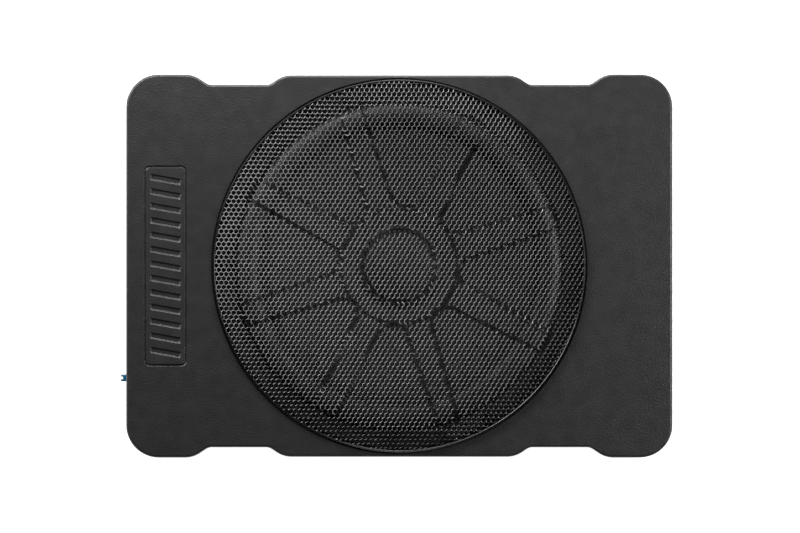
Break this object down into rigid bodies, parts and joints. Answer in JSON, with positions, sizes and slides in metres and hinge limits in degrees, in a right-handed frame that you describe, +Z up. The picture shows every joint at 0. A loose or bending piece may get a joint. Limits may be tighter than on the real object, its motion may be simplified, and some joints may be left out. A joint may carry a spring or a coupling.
{
  "type": "powered car subwoofer",
  "caption": "Flat powered car subwoofer: a black notched enclosure with a shallow woofer behind a round embossed mesh grille and a control bay in one end.",
  "frame": {"origin": "on the ground, under the middle of the enclosure", "axes": "+X along the long side, away from the control bay; +Y across; +Z up"},
  "size_m": [0.4064, 0.282, 0.0845],
  "materials": {
    "powder_coat": "textured black powder coat on die-cast aluminium",
    "grille_coat": "satin black powder coat on perforated steel",
    "plate_coat": "satin black paint on sheet steel",
    "rubber": "matt black rubber",
    "foam": "closed-cell foam gasket",
    "cast_alloy": "black coated die casting",
    "cone_paper": "pressed black paper pulp",
    "copper": "enamelled copper wire",
    "kapton": "amber film former",
    "cloth": "resin-stiffened woven cloth",
    "zinc_steel": "zinc-plated steel",
    "ferrite": "sintered ferrite",
    "black_plastic": "moulded black nylon",
    "nickel": "nickel-plated brass",
    "black_screw": "black oxide steel",
    "board": "green solder mask on glass-fibre board",
    "bare_alloy": "plain extruded aluminium",
    "sleeve": "shrink sleeve on an aluminium can",
    "fuse_plastic": "translucent blue plastic",
    "led_lens": "green tinted lens",
    "red_wire": "red wire insulation",
    "black_wire": "black wire insulation"
  },
  "bodies": {
    "enclosure": {"housing": "powder_coat", "base_plate": "plate_coat", "base_gasket": "foam", "grille": "grille_coat", "grille_gasket": "foam", "basket": "cast_alloy", "basket_gasket": "foam", "surround": "rubber", "spider": "cloth", "front_plate": "zinc_steel", "magnet": "ferrite", "yoke": "zinc_steel", "terminal_block": "black_plastic", "tinsel_lead_plus": "copper", "tinsel_lead_minus": "copper", "control_panel": "plate_coat", "fuse_holder": "black_plastic", "harness_socket": "black_plastic", "remote_jack": "black_plastic", "power_led": "led_lens", "gain_pot": "black_plastic", "crossover_pot": "black_plastic", "bass_pot": "black_plastic", "rca_jack_left": "nickel", "rca_jack_right": "nickel", "rca_block": "black_plastic", "amp_board": "board", "heat_sink": "bare_alloy", "capacitor_1": "sleeve", "capacitor_2": "sleeve", "inductor": "copper", "speaker_wire_plus": "red_wire", "speaker_wire_minus": "black_wire", "foot_1": "rubber", "foot_2": "rubber", "foot_3": "rubber", "foot_4": "rubber", "base_screw_1": "black_screw", "base_screw_2": "black_screw", "base_screw_3": "black_screw", "base_screw_4": "black_screw", "base_screw_5": "black_screw", "base_screw_6": "black_screw", "basket_screw_1": "black_screw", "basket_screw_2": "black_screw", "basket_screw_3": "black_screw", "basket_screw_4": "black_screw", "basket_screw_5": "black_screw", "basket_screw_6": "black_screw"},
    "cone_assembly": {"cone": "cone_paper", "dust_cap": "cone_paper", "coil_former": "kapton", "coil_winding": "copper"},
    "fuse_body": {"fuse": "fuse_plastic"},
    "gain_control": {"gain_knob": "black_plastic"},
    "crossover_control": {"crossover_knob": "black_plastic"},
    "bass_control": {"bass_knob": "black_plastic"},
    "level_slider": {"level_switch": "black_plastic"},
    "phase_slider": {"phase_switch": "black_plastic"}
  },
  "joints": [
    {"name": "cone_travel", "type": "slide", "parent": "enclosure", "child": "cone_assembly", "axis": [0, 0, 1], "range_m": [-0.007, 0.007], "stiffness_N_per_m": 4800, "deforming": ["surround", "spider", "tinsel_lead_plus", "tinsel_lead_minus"]},
    {"name": "fuse_pull", "type": "slide", "parent": "enclosure", "child": "fuse_body", "axis": [-1, 0, 0], "range_m": [0, 0.025]},
    {"name": "gain_turn", "type": "hinge", "parent": "enclosure", "child": "gain_control", "pos_m": [-0.1948, -0.00105, 0.037], "axis": [1, 0, 0], "range_deg": [-140, 140]},
    {"name": "crossover_turn", "type": "hinge", "parent": "enclosure", "child": "crossover_control", "pos_m": [-0.1948, 0.01995, 0.037], "axis": [1, 0, 0], "range_deg": [-140, 140]},
    {"name": "bass_turn", "type": "hinge", "parent": "enclosure", "child": "bass_control", "pos_m": [-0.1948, 0.04095, 0.037], "axis": [1, 0, 0], "range_deg": [-140, 140]},
    {"name": "level_slide", "type": "slide", "parent": "enclosure", "child": "level_slider", "axis": [0, 1, 0], "range_m": [-0.002, 0.002]},
    {"name": "phase_slide", "type": "slide", "parent": "enclosure", "child": "phase_slider", "axis": [0, 1, 0], "range_m": [0, 0.004]}
  ]
}
